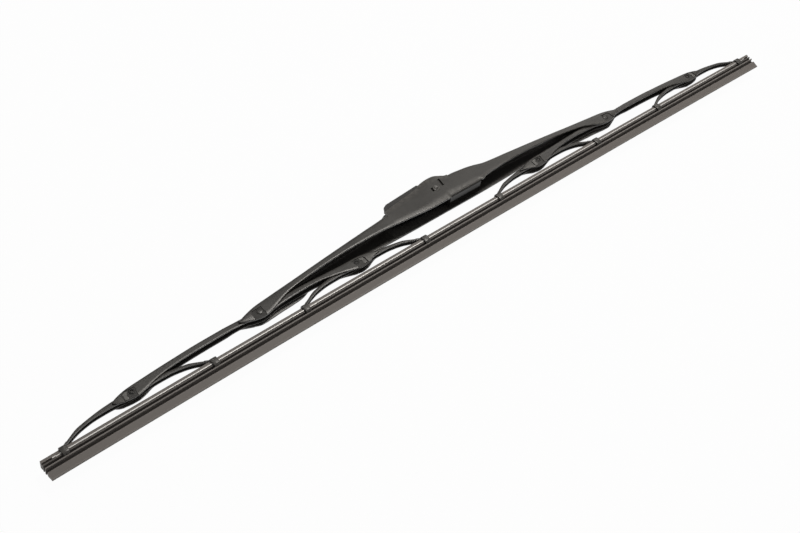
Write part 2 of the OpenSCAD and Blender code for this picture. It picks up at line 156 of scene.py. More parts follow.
def addStudio():
    for where in ("top", "right", "left"):
        addLamp(where + "Lamp", *(studio[where + part] for part in ("Power", "Size", "Place")))
    world = bpy.data.worlds.new("paleWorld")
    world.use_nodes = True
    tree = world.node_tree
    background = tree.nodes["Background"]
    background.inputs["Color"].default_value = (1, 1, 1, 1)
    split = tree.nodes.new("ShaderNodeSeparateXYZ")
    tree.links.new(tree.nodes.new("ShaderNodeTexCoord").outputs["Generated"], split.inputs[0])
    scale = tree.nodes.new("ShaderNodeMapRange")
    scale.inputs["To Min"].default_value = studio["worldLow"]
    scale.inputs["To Max"].default_value = studio["worldHigh"]
    tree.links.new(split.outputs["Z"], scale.inputs["Value"])
    whole = tree.nodes.new("ShaderNodeMapRange")
    whole.inputs["To Max"].default_value = 1.0
    tree.links.new(scale.outputs["Result"], whole.inputs["To Min"])
    tree.links.new(tree.nodes.new("ShaderNodeLightPath").outputs["Is Camera Ray"],
                   whole.inputs["Value"])
    tree.links.new(whole.outputs["Result"], background.inputs["Strength"])
    bpy.context.scene.world = world
    bpy.context.scene.view_settings.view_transform = "Standard"


def addFloor():
    low, half = cadBox[0][2] - studio["floorGap"], studio["floorHalf"]
    mesh = bpy.data.meshes.new("paleFloor")
    corners = [(x * half, y * half, low) for x, y in ((-1, -1), (1, -1), (1, 1), (-1, 1))]
    mesh.from_pydata(corners, [], [(0, 1, 2, 3)])
    floor = bpy.data.objects.new("paleFloor", mesh)
    bpy.context.scene.collection.objects.link(floor)
    material = bpy.data.materials.new("palePaper")
    material.use_nodes = True
    tree = material.node_tree
    tree.nodes.remove(tree.nodes["Principled BSDF"])
    paper = tree.nodes.new("ShaderNodeBsdfDiffuse")
    paper.inputs["Color"].default_value = (*[studio["floorColour"]] * 3, 1)
    glow = tree.nodes.new("ShaderNodeEmission")
    glow.inputs["Strength"].default_value = 1.0
    share = mathOf(tree, "MULTIPLY", seenDirectly(tree), studio["floorWhite"])
    mix = tree.nodes.new("ShaderNodeMixShader")
    tree.links.new(share, mix.inputs["Fac"])
    tree.links.new(paper.outputs[0], mix.inputs[1])
    tree.links.new(glow.outputs[0], mix.inputs[2])
    tree.links.new(mix.outputs[0], tree.nodes["Material Output"].inputs["Surface"])
    mesh.materials.append(material)


addStudio()
addFloor()
print("studio lit")

# Materials. Scales are per metre, depths in metres, colours are linear.
# Painted shade in recesses and grooves, shown where a shape's attribute is below 0, at most by its
# share
paintedShadeLook = dict(colour=(0.012, 0.0115, 0.011), share=0.9, gloss=0.5)
# How patchy the worn edges are: from low to high the noise shows them from least to whole
wearPatches = dict(low=0.35, high=0.6, least=0.35)
noiseDetail = dict(mottle=4.0, grain=2.0, wavy=1.0, wear=3.0)


def noiseOf(tree, vector, look, kind):
    node = tree.nodes.new("ShaderNodeTexNoise")
    node.inputs["Scale"].default_value = look[kind + "Scale"]
    node.inputs["Detail"].default_value = noiseDetail[kind]
    tree.links.new(vector, node.inputs["Vector"])
    return node.outputs["Fac"]


def rangeOf(tree, value, low, high, fromLow=0.3, fromHigh=0.7):
    node = tree.nodes.new("ShaderNodeMapRange")
    node.inputs["From Min"].default_value = fromLow
    node.inputs["From Max"].default_value = fromHigh
    node.inputs["To Min"].default_value = low
    node.inputs["To Max"].default_value = high
    tree.links.new(value, node.inputs["Value"])
    return node.outputs["Result"]


def mixColour(tree, share, first, second):
    node = tree.nodes.new("ShaderNodeMix")
    node.data_type = "RGBA"
    for socket, colour in (("A_Color", first), ("B_Color", second)):
        target = next(s for s in node.inputs if s.identifier == socket)
        if isinstance(colour, tuple):
            target.default_value = (*colour, 1)
        else:
            tree.links.new(colour, target)
    tree.links.new(share, next(s for s in node.inputs if s.identifier == "Factor_Float"))
    return next(s for s in node.outputs if s.identifier == "Result_Color")


# Object coordinates, stretched by look["stretch"], feed a mottle, a fine grain and a bump; the
# shape's attribute shows the worn colour along cut edges and as painted highlights, and below 0
# painted shade
def makeMaterial(name, look):
    material = bpy.data.materials.new(name)
    material.use_nodes = True
    tree = material.node_tree
    shader = tree.nodes["Principled BSDF"]
    place = tree.nodes.new("ShaderNodeTexCoord").outputs["Object"]
    mapping = tree.nodes.new("ShaderNodeMapping")
    mapping.inputs["Scale"].default_value = look.get("stretch", (1, 1, 1))
    tree.links.new(place, mapping.inputs["Vector"])
    vector = mapping.outputs["Vector"]
    mottle = noiseOf(tree, vector, look, "mottle")
    grain = noiseOf(tree, vector, look, "grain")
    colour = mixColour(tree, rangeOf(tree, mottle, 0.0, 1.0), look["dark"], look["light"])
    colour = mixColour(tree, rangeOf(tree, grain, 0.0, look["grainShare"]), colour, look["fleck"])
    if "wornAndHighlight" in look:
        wear = tree.nodes.new("ShaderNodeAttribute")
        wear.attribute_name = "wearAndPaintedLight"
        patchy = rangeOf(tree, noiseOf(tree, place, look, "wear"), wearPatches["least"], 1.0,
                         wearPatches["low"], wearPatches["high"])
        share = mathOf(tree, "MULTIPLY", wear.outputs["Fac"], patchy, True)
        share = mathOf(tree, "MULTIPLY", share, look["wornAndHighlightShare"], True)
        colour = mixColour(tree, share, colour, look["wornAndHighlight"])
        # painted shade: below 0 the colour darkens towards the dark tone and the gloss drops
        pocket = rangeOf(tree, wear.outputs["Fac"], paintedShadeLook["share"], 0.0, -1.0, 0.0)
        colour = mixColour(tree, pocket, colour, paintedShadeLook["colour"])
        tree.links.new(rangeOf(tree, pocket, paintedShadeLook["gloss"], 0.0),
                       shader.inputs["Specular IOR Level"])
    tree.links.new(colour, shader.inputs["Base Color"])
    shader.inputs["Metallic"].default_value = look.get("metal", 0.0)
    tree.links.new(rangeOf(tree, mottle, *look["roughness"]), shader.inputs["Roughness"])
    fine = tree.nodes.new("ShaderNodeBump")
    fine.inputs["Strength"].default_value = look["grainBump"]
    fine.inputs["Distance"].default_value = look["grainDepth"]
    tree.links.new(grain, fine.inputs["Height"])
    wavy = tree.nodes.new("ShaderNodeBump")
    wavy.inputs["Strength"].default_value = look["wavyBump"]
    wavy.inputs["Distance"].default_value = look["wavyDepth"]
    tree.links.new(noiseOf(tree, vector, look, "wavy"), wavy.inputs["Height"])
    tree.links.new(fine.outputs["Normal"], wavy.inputs["Normal"])
    tree.links.new(wavy.outputs["Normal"], shader.inputs["Normal"])
    return material


paintLook = dict(dark=(0.026, 0.0242, 0.0215), light=(0.039, 0.0364, 0.0325), mottleScale=60.0,
                 fleck=(0.11, 0.105, 0.1), grainScale=5200.0, grainShare=0.3,
                 wornAndHighlight=(0.27, 0.256, 0.235), wearScale=420.0, wornAndHighlightShare=0.35,
                 roughness=(0.27, 0.37), grainBump=0.3, grainDepth=0.00003,
                 wavyScale=420.0, wavyBump=0.22, wavyDepth=0.00012)
rivetLook = dict(dark=(0.024, 0.023, 0.022), light=(0.045, 0.043, 0.041), mottleScale=1500.0,
                 fleck=(0.09, 0.087, 0.083), grainScale=7000.0, grainShare=0.3, metal=0.25,
                 wornAndHighlight=(0.12, 0.115, 0.11), wearScale=1800.0, wornAndHighlightShare=0.6,
                 roughness=(0.28, 0.42), grainBump=0.4, grainDepth=0.00003,
                 wavyScale=1400.0, wavyBump=0.2, wavyDepth=0.00005)
linerLook = dict(dark=(0.10, 0.097, 0.09), light=(0.15, 0.146, 0.137), mottleScale=700.0,
                 fleck=(0.2, 0.19, 0.18), grainScale=6000.0, grainShare=0.3,
                 wornAndHighlight=(0.3, 0.29, 0.27), wearScale=900.0, wornAndHighlightShare=0.4,
                 roughness=(0.25, 0.35), grainBump=0.3, grainDepth=0.00002,
                 wavyScale=900.0, wavyBump=0.15, wavyDepth=0.00005)
adapterLook = dict(dark=(0.008, 0.0077, 0.0073), light=(0.015, 0.0144, 0.0137), mottleScale=260.0,
                   fleck=(0.045, 0.043, 0.041), grainScale=4200.0, grainShare=0.4,
                   wornAndHighlight=(0.16, 0.155, 0.15), wearScale=900.0, wornAndHighlightShare=0.7,
                   roughness=(0.45, 0.6), grainBump=0.6, grainDepth=0.00005,
                   wavyScale=500.0, wavyBump=0.1, wavyDepth=0.00006)
rubberLook = dict(dark=(0.168, 0.151, 0.139), light=(0.222, 0.201, 0.187), mottleScale=38.0,
                  stretch=(0.14, 1, 1), fleck=(0.2, 0.185, 0.175), grainScale=5200.0,
                  grainShare=0.3, wornAndHighlight=(0.26, 0.245, 0.23), wearScale=700.0, wornAndHighlightShare=0.5,
                  roughness=(0.5, 0.66), grainBump=0.35, grainDepth=0.00004,
                  wavyScale=240.0, wavyBump=0.3, wavyDepth=0.00018)
stripLook = dict(dark=(0.6, 0.585, 0.565), light=(0.76, 0.745, 0.725), mottleScale=420.0,
                 stretch=(0.05, 1, 1), fleck=(0.68, 0.67, 0.65), grainScale=6500.0,
                 grainShare=0.4, metal=0.4, roughness=(0.34, 0.48), grainBump=0.3,
                 grainDepth=0.00002, wavyScale=900.0, wavyBump=0.2, wavyDepth=0.00003)
blackPaint = makeMaterial("blackPaint", paintLook)
rivetSteel = makeMaterial("rivetSteel", rivetLook)
linerPlastic = makeMaterial("linerPlastic", linerLook)
adapterPlastic = makeMaterial("adapterPlastic", adapterLook)
wiperRubber = makeMaterial("wiperRubber", rubberLook)
brightStrip = makeMaterial("brightStrip", stripLook)
print("materials made")

# Shared shape tools. A shape's wear runs from 1 on a bare cut edge through 0 on whole paint, and
# below 0 it is painted shade, down to -1 in a deep pocket.
wearAt = dict(foot=0.9, bend=0.35, shoulder=0.25, web=0.12, inside=0.5, neck=0.3)
cutEase = 0.3  # a cut's bevel lies at this share of its edge radius
hair = 0.02  # by this much two neighbouring skins or stations stay apart
toFrame = np.array([0, blade["pinHeight"], 0])


# Catmull-Rom: p(t) = (2b + (c-a)t + (2a-5b+4c-d)t^2 + (3b-a-3c+d)t^3) / 2
def smoothKnots(knots, steps=12):
    k = np.asarray(knots, float)
    p = np.vstack([k[:1], k, k[-1:]])
    a, b, c, d = (p[i:len(p) - 3 + i, None, :] for i in range(4))
    t = np.linspace(0, 1, steps, endpoint=False)[None, :, None]
    curve = 0.5 * (2 * b + (c - a) * t + (2 * a - 5 * b + 4 * c - d) * t ** 2
                   + (3 * b - a - 3 * c + d) * t ** 3)
    return np.vstack([curve.reshape(-1, 2), k[-1:]])


# y(x) read off the smooth line through the knots
def lineOver(knots):
    line = smoothKnots(knots)
    order = np.argsort(line[:, 0], kind="stable")
    return lambda x: np.interp(x, line[order, 0], line[order, 1])


def stations(low, high, step):
    return np.linspace(low, high, max(2, int(math.ceil((high - low) / step)) + 1))


# Rings grid[i, j] joined to the next ring and capped at both ends, faces outwards
def closedSkin(grid, wear=None):
    n, m = grid.shape[:2]
    index = np.arange(n * m).reshape(n, m)
    low, high = index[:-1], index[1:]
    quads = np.stack([low, np.roll(low, -1, 1), np.roll(high, -1, 1), high], -1).reshape(-1, 4)
    points = grid.reshape(-1, 3)
    a, b, c, d = (points[quads[:, i]] for i in range(4))
    volume = np.sum(a * np.cross(b, c)) + np.sum(a * np.cross(c, d))
    for ring, sign in ((index[0], -1), (index[-1], 1)):
        q = points[ring]
        volume += sign * np.sum(np.cross(q, np.roll(q, -1, 0)) @ q.mean(0))
    faces = quads.tolist() + [index[0, ::-1].tolist(), index[-1].tolist()]
    if volume < 0:
        faces = [f[::-1] for f in faces]
    return points, faces, (np.zeros(n * m) if wear is None else np.asarray(wear).reshape(-1))


# A shape drawn at a yoke's foot, turned with the bow and set down over x
def turnedBy(points, x):
    turn = -float(bowTurn(x))
    pivot = yokePivot(x)
    local = np.array(points, float) - [0, blade["yokeHeight"], 0]
    out = local.copy()
    out[..., 0] = math.cos(turn) * local[..., 0] - math.sin(turn) * local[..., 1] + pivot[0]
    out[..., 1] = math.sin(turn) * local[..., 0] + math.cos(turn) * local[..., 1] + pivot[1]
    return out


# One object out of several closed skins, in metres in the frame. A skin's wear, painted shade and
# painted highlights are given for each point or for each corner of each face.
def makePiece(name, skins, material, sharp=35.0):
    points, faces, wear, start = [], [], [], 0
    for p, f, w in skins:
        points.append(p)
        faces += [[i + start for i in face] for face in f]
        wear.append(w if len(w) != len(p) else w[[i for face in f for i in face]])
        start += len(p)
    points = (np.vstack(points) - toFrame) / 1000
    mesh = bpy.data.meshes.new(name)
    mesh.from_pydata(points.tolist(), [], faces)
    mesh.attributes.new("wearAndPaintedLight", "FLOAT", "CORNER").data.foreach_set(
        "value", np.concatenate(wear).astype(np.float32))
    mesh.polygons.foreach_set("use_smooth", np.ones(len(mesh.polygons), bool))
    mesh.set_sharp_from_angle(angle=math.radians(sharp))
    mesh.materials.append(material)
    piece = bpy.data.objects.new(name, mesh)
    bpy.context.scene.collection.objects.link(piece)
    return piece


# A skin with the closed cutters taken out of it
def lessCutters(skin, cutters):
    solid = makePiece("solid", [skin], blackPaint)
    tool = makePiece("cutter", cutters, blackPaint)
    change = solid.modifiers.new("cut", "BOOLEAN")
    change.operation = "DIFFERENCE"
    change.solver = "EXACT"
    change.object = tool
    mesh = solid.evaluated_get(bpy.context.evaluated_depsgraph_get()).to_mesh()
    found = np.array([v.co[:] for v in mesh.vertices]) * 1000 + toFrame
    cut = [list(f.vertices) for f in mesh.polygons]
    wornAndHighlight = np.zeros(len(mesh.loops), np.float32)
    mesh.attributes["wearAndPaintedLight"].data.foreach_get("value", wornAndHighlight)
    solid.to_mesh_clear()
    for thing in (solid, tool):
        data = thing.data
        bpy.data.objects.remove(thing)
        bpy.data.meshes.remove(data)
    return found, cut, wornAndHighlight


def dress(piece, body, node):
    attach(piece, body)
    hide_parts(node)


def arcOf(steps, low=0.0, high=90.0):
    return np.radians(np.linspace(low, high, steps))


# A section whose corners are (y, z, wear), each with a value per station, carried along x
def sectionSkin(x, corners, side=1):
    y, z, w = (np.stack([np.broadcast_to(c[i], x.shape) for c in corners], 1)
               for i in range(3))
    return closedSkin(np.stack([np.broadcast_to(x[:, None], y.shape), y, side * z], -1), w)


# (rise, inset) round the cut edge of a sheet, from its outer face to its inner one
def cutSteps(sheet, edge):
    bevel = edge * cutEase
    return [(bevel, bevel), (0, edge), (0, sheet / 2), (0, sheet - edge), (bevel, sheet - bevel)]


# A folded channel open downwards. Round the outside it runs up the near wall, over a bend
# z = w - r + r cos a, y = top - r + r sin a, across the web and down the far wall, and back the
# same way inside with the radius less the sheet.
def channelSkin(x, top, nearLow, farLow, half, sheet, bend, edge=0.14, wallSteps=5):
    x = np.asarray(x, float)
    one = np.ones_like(x)
    inner = bend - sheet
    corners = []
    wallTop = np.maximum(top - bend, np.maximum(nearLow, farLow) + 2.2 * edge)

    def wall(side, low, offset, goingUp):
        share = np.linspace(0, 1, wallSteps)
        for s in (share if goingUp else share[::-1]):
            wear = wearAt["foot"] if s == 0 else (wearAt["shoulder"] if s == 1 else 0.0)
            corners.append((low + edge + s * (wallTop - low - edge),
                            side * (half - offset), wear * one))

    def bendOf(side, radius, goingIn):
        angles = arcOf(6)[1:-1]
        for a in (angles if goingIn else angles[::-1]):
            corners.append((wallTop + radius * math.sin(a),
                            side * (half - bend + radius * math.cos(a)),
                            wearAt["bend"] * one))

    def web(drop, start):
        for s in np.linspace(start, -start, 5):
            corners.append((wallTop + bend - drop, s * (half - bend), wearAt["web"] * one))

    def cut(side, low, outward):
        for rise, inset in cutSteps(sheet, edge)[::-1 if outward else 1]:
            corners.append((low + rise, side * (half - inset), one))

    wall(1, nearLow, 0, True)
    bendOf(1, bend, True)
    web(0, 1)
    bendOf(-1, bend, False)
    wall(-1, farLow, 0, False)
    cut(-1, farLow, False)
    wall(-1, farLow, sheet, True)
    bendOf(-1, inner, True)
    web(sheet, -1)
    bendOf(1, inner, False)
    wall(1, nearLow, sheet, False)
    cut(1, nearLow, True)
    return sectionSkin(x, corners)


# One upright wall: a rounded rectangle from low to top, sheet thick, inside half
def wallSkin(x, top, low, half, sheet, side, edge=0.14, rim=0.3, wallSteps=5):
    x = np.asarray(x, float)
    one = np.ones_like(x)
    top = np.maximum(top, low + 2.4 * rim)
    corners = []
    for s in np.linspace(0, 1, wallSteps):
        corners.append((low + edge + s * (top - rim - low - edge), half, one * (s in (0, 1))))
    for a in arcOf(4)[1:]:
        corners.append((top - rim + rim * math.sin(a), half - rim + rim * math.cos(a), one))
    for a in arcOf(3, 90, 180):
        corners.append((top - edge + edge * math.sin(a), half - sheet + edge + edge * math.cos(a),
                        one))
    for s in np.linspace(1, 0, wallSteps)[1:]:
        corners.append((low + edge + s * (top - edge - low - edge), half - sheet,
                        wearAt["inside"] * one))
    corners += [(low + rise, half - inset, one) for rise, inset in cutSteps(sheet, edge)[::-1]]
    return sectionSkin(x, corners, side)


# One wall with the start of the bend over it, where the web is open: outside z = h - r + r cos a,
# y = top - r + r sin a up to the sweep, then back inside
def hookSkin(x, top, low, half, sheet, side, bend, sweep=50, edge=0.14):
    x = np.asarray(x, float)
    one = np.ones_like(x)
    shoulder = np.maximum(top - bend, low + 3 * edge)
    corners = [(low + edge, half, one)]
    for radius, angles in ((bend, arcOf(6, 0, sweep)), (bend - sheet, arcOf(6, sweep, 0))):
        for a in angles:
            atCut = abs(a - math.radians(sweep)) < 1e-6
            corners.append((shoulder + radius * math.sin(a), half - bend + radius * math.cos(a),
                            wearAt["foot"] * atCut * one))
    bevel = edge * cutEase
    corners += [(low + rise, half - inset, one) for rise, inset in (
        (edge, sheet), (bevel, sheet - bevel), (0, sheet - edge), (0, edge), (bevel, bevel))]
    return sectionSkin(x, corners, side)


# How much painted shade darkens a pocket's floor and its steps, and how bright the painted
# highlight is on the step behind the joint, which lies further than behind from the centre
pocketShade = dict(floor=-0.45, step=-0.3, wornAndHighlight=0.9, behind=1.5)


# A prism that presses an outline (u towards the tip, v up) into one face of a wall
def pocketCutter(centre, outline, towards, half, depth, side):
    flat = np.array([(centre[0] + towards * u, centre[1] + v) for u, v in outline])
    rings = [np.column_stack([flat, np.full(len(flat), side * z)])
             for z in (half - depth, half + 1)]
    points, faces = closedSkin(np.array(rings))[:2]
    # painted shade on the floor and steps, a painted highlight on the step behind the joint
    wear = []
    for face in faces:
        p = points[face]
        behind = towards * (p[:, 0].mean() - centre[0]) < -pocketShade["behind"]
        shade = "floor" if np.ptp(p[:, 2]) < 0.01 else ("wornAndHighlight" if behind else "step")
        wear += [pocketShade[shade]] * len(face)
    return points, faces, np.array(wear)


# A flat plate cut to an outline in the xy plane, with its rims rounded by edge: its rings are
# (rise, inset, wear) from each face inwards
def plateSkin(outline, low, high, edge):
    k = np.asarray(outline, float)
    along = np.roll(k, -1, 0) - np.roll(k, 1, 0)
    along /= np.linalg.norm(along, axis=1)[:, None]
    area = np.sum(k[:, 0] * np.roll(k[:, 1], -1) - k[:, 1] * np.roll(k[:, 0], -1))
    inwards = np.stack([-along[:, 1], along[:, 0]], 1) * np.sign(area)
    bevel = edge * cutEase
    rims = [(0.0, edge * 2.5, 0.0), (0.0, edge, 0.6), (bevel, bevel, 1.0), (edge, 0, 0.8)]
    rings, wear = [], []
    for height, inset, w in ([(low + rise, inset, w) for rise, inset, w in rims]
                             + [(high - rise, inset, w) for rise, inset, w in rims[::-1]]):
        ring = k + inwards * inset
        rings.append(np.column_stack([ring, np.full(len(ring), height)]))
        wear.append(np.full(len(ring), w))
    return closedSkin(np.array(rings), np.array(wear))


# A profile (radius, height, wear) turned about the z axis through centre: x = cx + r cos a,
# y = cy + r sin a
def latheSkin(profile, centre, segments=40):
    p = np.asarray(profile, float)
    a = np.linspace(0, 2 * np.pi, segments, endpoint=False)
    grid = np.stack([centre[0] + p[:, :1] * np.cos(a), centre[1] + p[:, :1] * np.sin(a),
                     np.broadcast_to(p[:, 1:2], (len(p), segments))], -1)
    return closedSkin(grid, np.broadcast_to(p[:, 2:3], (len(p), segments)))


# Primary lever. Knots are (x, y) of an edge; slots beside the pin are (place, half size, lean).
pinY, mainY = blade["pinHeight"], blade["mainHeight"]
primary = dict(
    sheet=1.2, bend=1.8, tip=165.0, webEnd=154.5, windowLeft=-42.0, windowRight=14.0,
    webStep=1.6, tipStep=0.8, windowStep=1.0, archStart=36.0, earEnd=45.0,
    halfAt=[60, 110, 140, 165], half=[7, 5.2, 3.9, 3.9],
    pocketDepth=0.4, pocketFace=3.9,
    pocket=[(-2.6, 2.6), (-2.5, 0), (-2.7, -2), (-2.4, -6), (5.6, -6), (5.5, -3.2), (5.2, 1.2),
            (4.2, 2.3)],
    slotDepth=1.05, slotFace=7.0,
    slots=[((5.5, 2.3), (0.8, 3.0), 1.0), ((-3.2, 0.1), (0.8, 1.5), 0.5)],
    endTop=[(45, pinY + 0.2), (54, pinY - 0.7), (66, pinY - 1.6), (84, pinY - 2.9),
            (102, pinY - 4.3), (120, mainY + 8), (138, mainY + 6.7), (150, mainY + 5.5),
            (156, mainY + 4.3), (162, mainY + 2.5), (165, mainY + 0.9)],
    ear=[(-42, pinY + 2.8), (-36, pinY + 3.7), (-13, pinY + 6.6), (-9.5, pinY + 8.1),
         (-5, pinY + 9.1), (0, pinY + 9.6), (5, pinY + 9.2), (9, pinY + 7.3),
         (12.5, pinY + 5.4), (18, pinY + 5.2), (24, pinY + 4.5), (30, pinY + 3.7),
         (36, pinY + 2.4), (41, pinY + 0.9), (45, pinY + 0.2)],
    nearArch=[(36, pinY - 9.8), (46, pinY - 8.8), (60, pinY - 8.1), (77, pinY - 7.8),
              (88, pinY - 8), (102, pinY - 8.7), (120, mainY + 3.35), (130, mainY + 1.7),
              (139, mainY - 1.4), (147, mainY - 4.1), (153, mainY - 4.3), (158, mainY - 2.9),
              (164, mainY - 0.4), (165, mainY + 0.1)],
    farArch=[(0, pinY - 11.6), (30, pinY - 11.6), (54, pinY - 11.2), (80, pinY - 10.5),
             (98, pinY - 8.8), (107, mainY + 3.4), (113, mainY + 0.6), (120, mainY - 2),
             (128, mainY - 3), (136, mainY - 3.6), (144, mainY - 4.3), (152, mainY - 4.8),
             (157, mainY - 3.2), (164, mainY - 0.4), (165, mainY + 0.1)],
    nearMiddle=[(-36, pinY - 9.8), (-26, pinY - 10.6), (-18, pinY - 11.3), (-12, pinY - 11.6),
                (3, pinY - 11.6), (30, pinY - 11.3), (36, pinY - 9.8)])
# The lug folded in from the near wall: where it lies, how far in it reaches, how far above its
# underside the wall ends and how far its root runs up inside the wall. Its underside carries
# painted shade, darkest at its end.
lug = dict(left=3.0, right=30.0, step=1.5, height=13.7, face=6.98, inside=-3.0, bulge=0.1,
           knee=1.0, wallGap=1.6, root=1.7, rootRound=0.08,
           shades=dict(end=-0.9, tip=-0.95, knee=-0.8, foot=-0.45, bend=-0.1))


def primaryTop(x):
    end = lineOver(primary["endTop"])(np.abs(x))
    ear = lineOver(primary["ear"])(x)
    return np.where((x >= primary["windowLeft"] - 1e-6) & (x < primary["earEnd"]), ear, end)


def primaryNear(x):
    return np.where(np.abs(x) > primary["archStart"], lineOver(primary["nearArch"])(np.abs(x)),
                    lineOver(primary["nearMiddle"])(x))


def primaryFar(x):
    return lineOver(primary["farArch"])(np.abs(x))


def primaryHalf(x):
    return np.interp(np.abs(x), primary["halfAt"], primary["half"])


# The lug's section, y = y0 + t - t cos a, z = w - t + t sin a, carried along x
def lugSkin():
    x = stations(lug["left"], lug["right"], lug["step"])
    y0, t, w, inside = lug["height"], primary["sheet"], lug["face"], lug["inside"]
    root = y0 + lug["root"] + lug["rootRound"]
    # painted shade under the lug, darkest at its end and fading towards the bend
    shade = lug["shades"]
    ring = [(y0 + t, inside, shade["end"]), (y0 + t / 2, inside - lug["bulge"], shade["end"]),
            (y0, inside, shade["tip"]), (y0, lug["knee"], shade["knee"]),
            (y0, w - t, shade["foot"])]
    ring += [(y0 + t - t * math.cos(a), w - t + t * math.sin(a), shade["bend"])
             for a in arcOf(6)[1:]]
    ring += [(y0 + lug["root"], w, 0), (root, w - lug["rootRound"], 0), (root, w - t, 0),
             (y0 + t, w - t, 0)]
    return sectionSkin(x, ring)


def buildPrimary():
    spec = primary
    slots = [pocketCutter((x, pinY + y), [(-w, -h), (w, -h), (w + lean, h), (lean - w, h)], 1,
                          spec["slotFace"], spec["slotDepth"], face) for face in (-1, 1)
             for (x, y), (w, h), lean in spec["slots"]]
    pockets = [pocketCutter((side * blade["mainX"], mainY), spec["pocket"], side,
                            spec["pocketFace"], spec["pocketDepth"], face)
               for side in (-1, 1) for face in (-1, 1)]
    wallEnd = lug["height"] + lug["wallGap"]
    skins = []
    for low, high in ((-spec["webEnd"], spec["windowLeft"] - hair),
                      (spec["windowRight"], spec["webEnd"])):
        x = stations(low, high, spec["webStep"])
        near = np.where((x > lug["left"]) & (x < lug["right"]), wallEnd, primaryNear(x))
        skins.append(lessCutters(channelSkin(x, primaryTop(x), near, primaryFar(x),
                                             primaryHalf(x), spec["sheet"], spec["bend"]),
                                 pockets))
    for low, high in ((-spec["tip"], -spec["webEnd"]), (spec["webEnd"], spec["tip"])):
        x = stations(low, high, spec["tipStep"])
        for side, foot in ((1, primaryNear(x)), (-1, primaryFar(x))):
            skins.append(lessCutters(hookSkin(x, primaryTop(x), foot, primaryHalf(x),
                                              spec["sheet"], side, spec["bend"]), pockets))
    x = stations(spec["windowLeft"], spec["windowRight"], spec["windowStep"])
    near = np.where(x > lug["left"], wallEnd, primaryNear(x))
    for side, foot in ((1, near), (-1, primaryFar(x))):
        skins.append(lessCutters(wallSkin(x, primaryTop(x), foot, primaryHalf(x), spec["sheet"],
                                          side), slots))
    skins.append(lugSkin())
    dress(makePiece("primaryLever", skins, blackPaint), "primary", "primary_lever")


buildPrimary()
print("primary lever built")

# Secondary levers, drawn on the right and mirrored to the left
inY = float(yokePivot(blade["innerX"])[1])
outY = float(yokePivot(blade["outerX"])[1])
secondary = dict(
    sheet=0.9, bend=1.2, inTip=62.3, webStart=76.0, webEnd=240.5, outTip=251.7, webStep=1.2,
    tipStep=0.7, halfAt=[123, 139, 166, 175, 253], half=[3.1, 2.4, 2.4, 3.0, 3.1],
    face=3.08, pocketDepth=0.4,
    pocket=[(-3.1, 1.9), (-2.9, 0.7), (-2.5, -0.9), (-2.1, -2.6), (-1.9, -6), (6.4, -6),
            (6.4, 0.4), (5.2, 1.4), (3.0, 2.0), (0, 2.1)],
    top=[(62.1, inY - 0.8), (65.7, inY + 1), (70, inY + 2.5), (77, inY + 3.5),
         (90, inY + 3.8), (105, mainY + 1.6), (120, mainY + 2.2), (140, mainY + 2.5),
         (151, mainY + 2.6), (165, mainY + 3), (180, mainY + 2.85), (195, mainY + 2.6),
         (205, mainY + 2.1), (218, mainY + 1.4), (230, outY + 4.4), (240, outY + 3.6),
         (245, outY + 2.7), (250, outY + 1.1), (252, outY - 0.7)],
    low=[(62.1, inY - 0.8), (66, inY - 1.5), (69, inY - 2.5), (72.5, inY - 4),
         (76, inY - 4.9), (79.5, inY - 5), (83.5, inY - 4.1), (87, inY - 3),
         (91.5, inY - 1.7), (99, inY - 0.1), (110, mainY - 1.3), (125, mainY - 1.3),
         (138, mainY - 1.9), (146, mainY - 3.4), (151, mainY - 3.8), (156, mainY - 2.9),
         (161, mainY - 1.5), (169, mainY - 0.95), (175, mainY - 1.1), (190, mainY - 1.4),
         (205, mainY - 2), (217, mainY - 3.2), (226.5, outY - 1.25), (232.5, outY - 3.15),
         (237.5, outY - 4.25), (243, outY - 4.15), (248.5, outY - 3), (252, outY - 0.7)])
# The liner's tongue, which lies in the pocket: u towards the lever's tip, v up
tongue = dict(sink=0.08, bed=0.05, edge=0.1,
              outline=[(5.4, 0.9), (4.6, 1.35), (3.2, 1.65), (2.2, 1.5), (2.3, 0.7),
                       (3.3, -0.2), (3.6, -1.2), (3.2, -2.2), (3.3, -3.1), (4.1, -3.5),
                       (5.5, -3.4), (5.6, -1.8), (5.4, -0.4)])


def secondaryHalf(x):
    return np.interp(x, secondary["halfAt"], secondary["half"])


# Corner values in the order of the faces turned round
def flippedCorners(faces, wear):
    ends = np.cumsum([len(f) for f in faces])
    return np.concatenate([wear[end - len(f):end][::-1] for f, end in zip(faces, ends)])


# A skin mirrored at x = 0, with its faces turned round so that they still point outwards
def mirrored(skin):
    points, faces, wear = skin
    flipped = wear if len(wear) == len(points) else flippedCorners(faces, wear)
    return points * [-1, 1, 1], [face[::-1] for face in faces], flipped


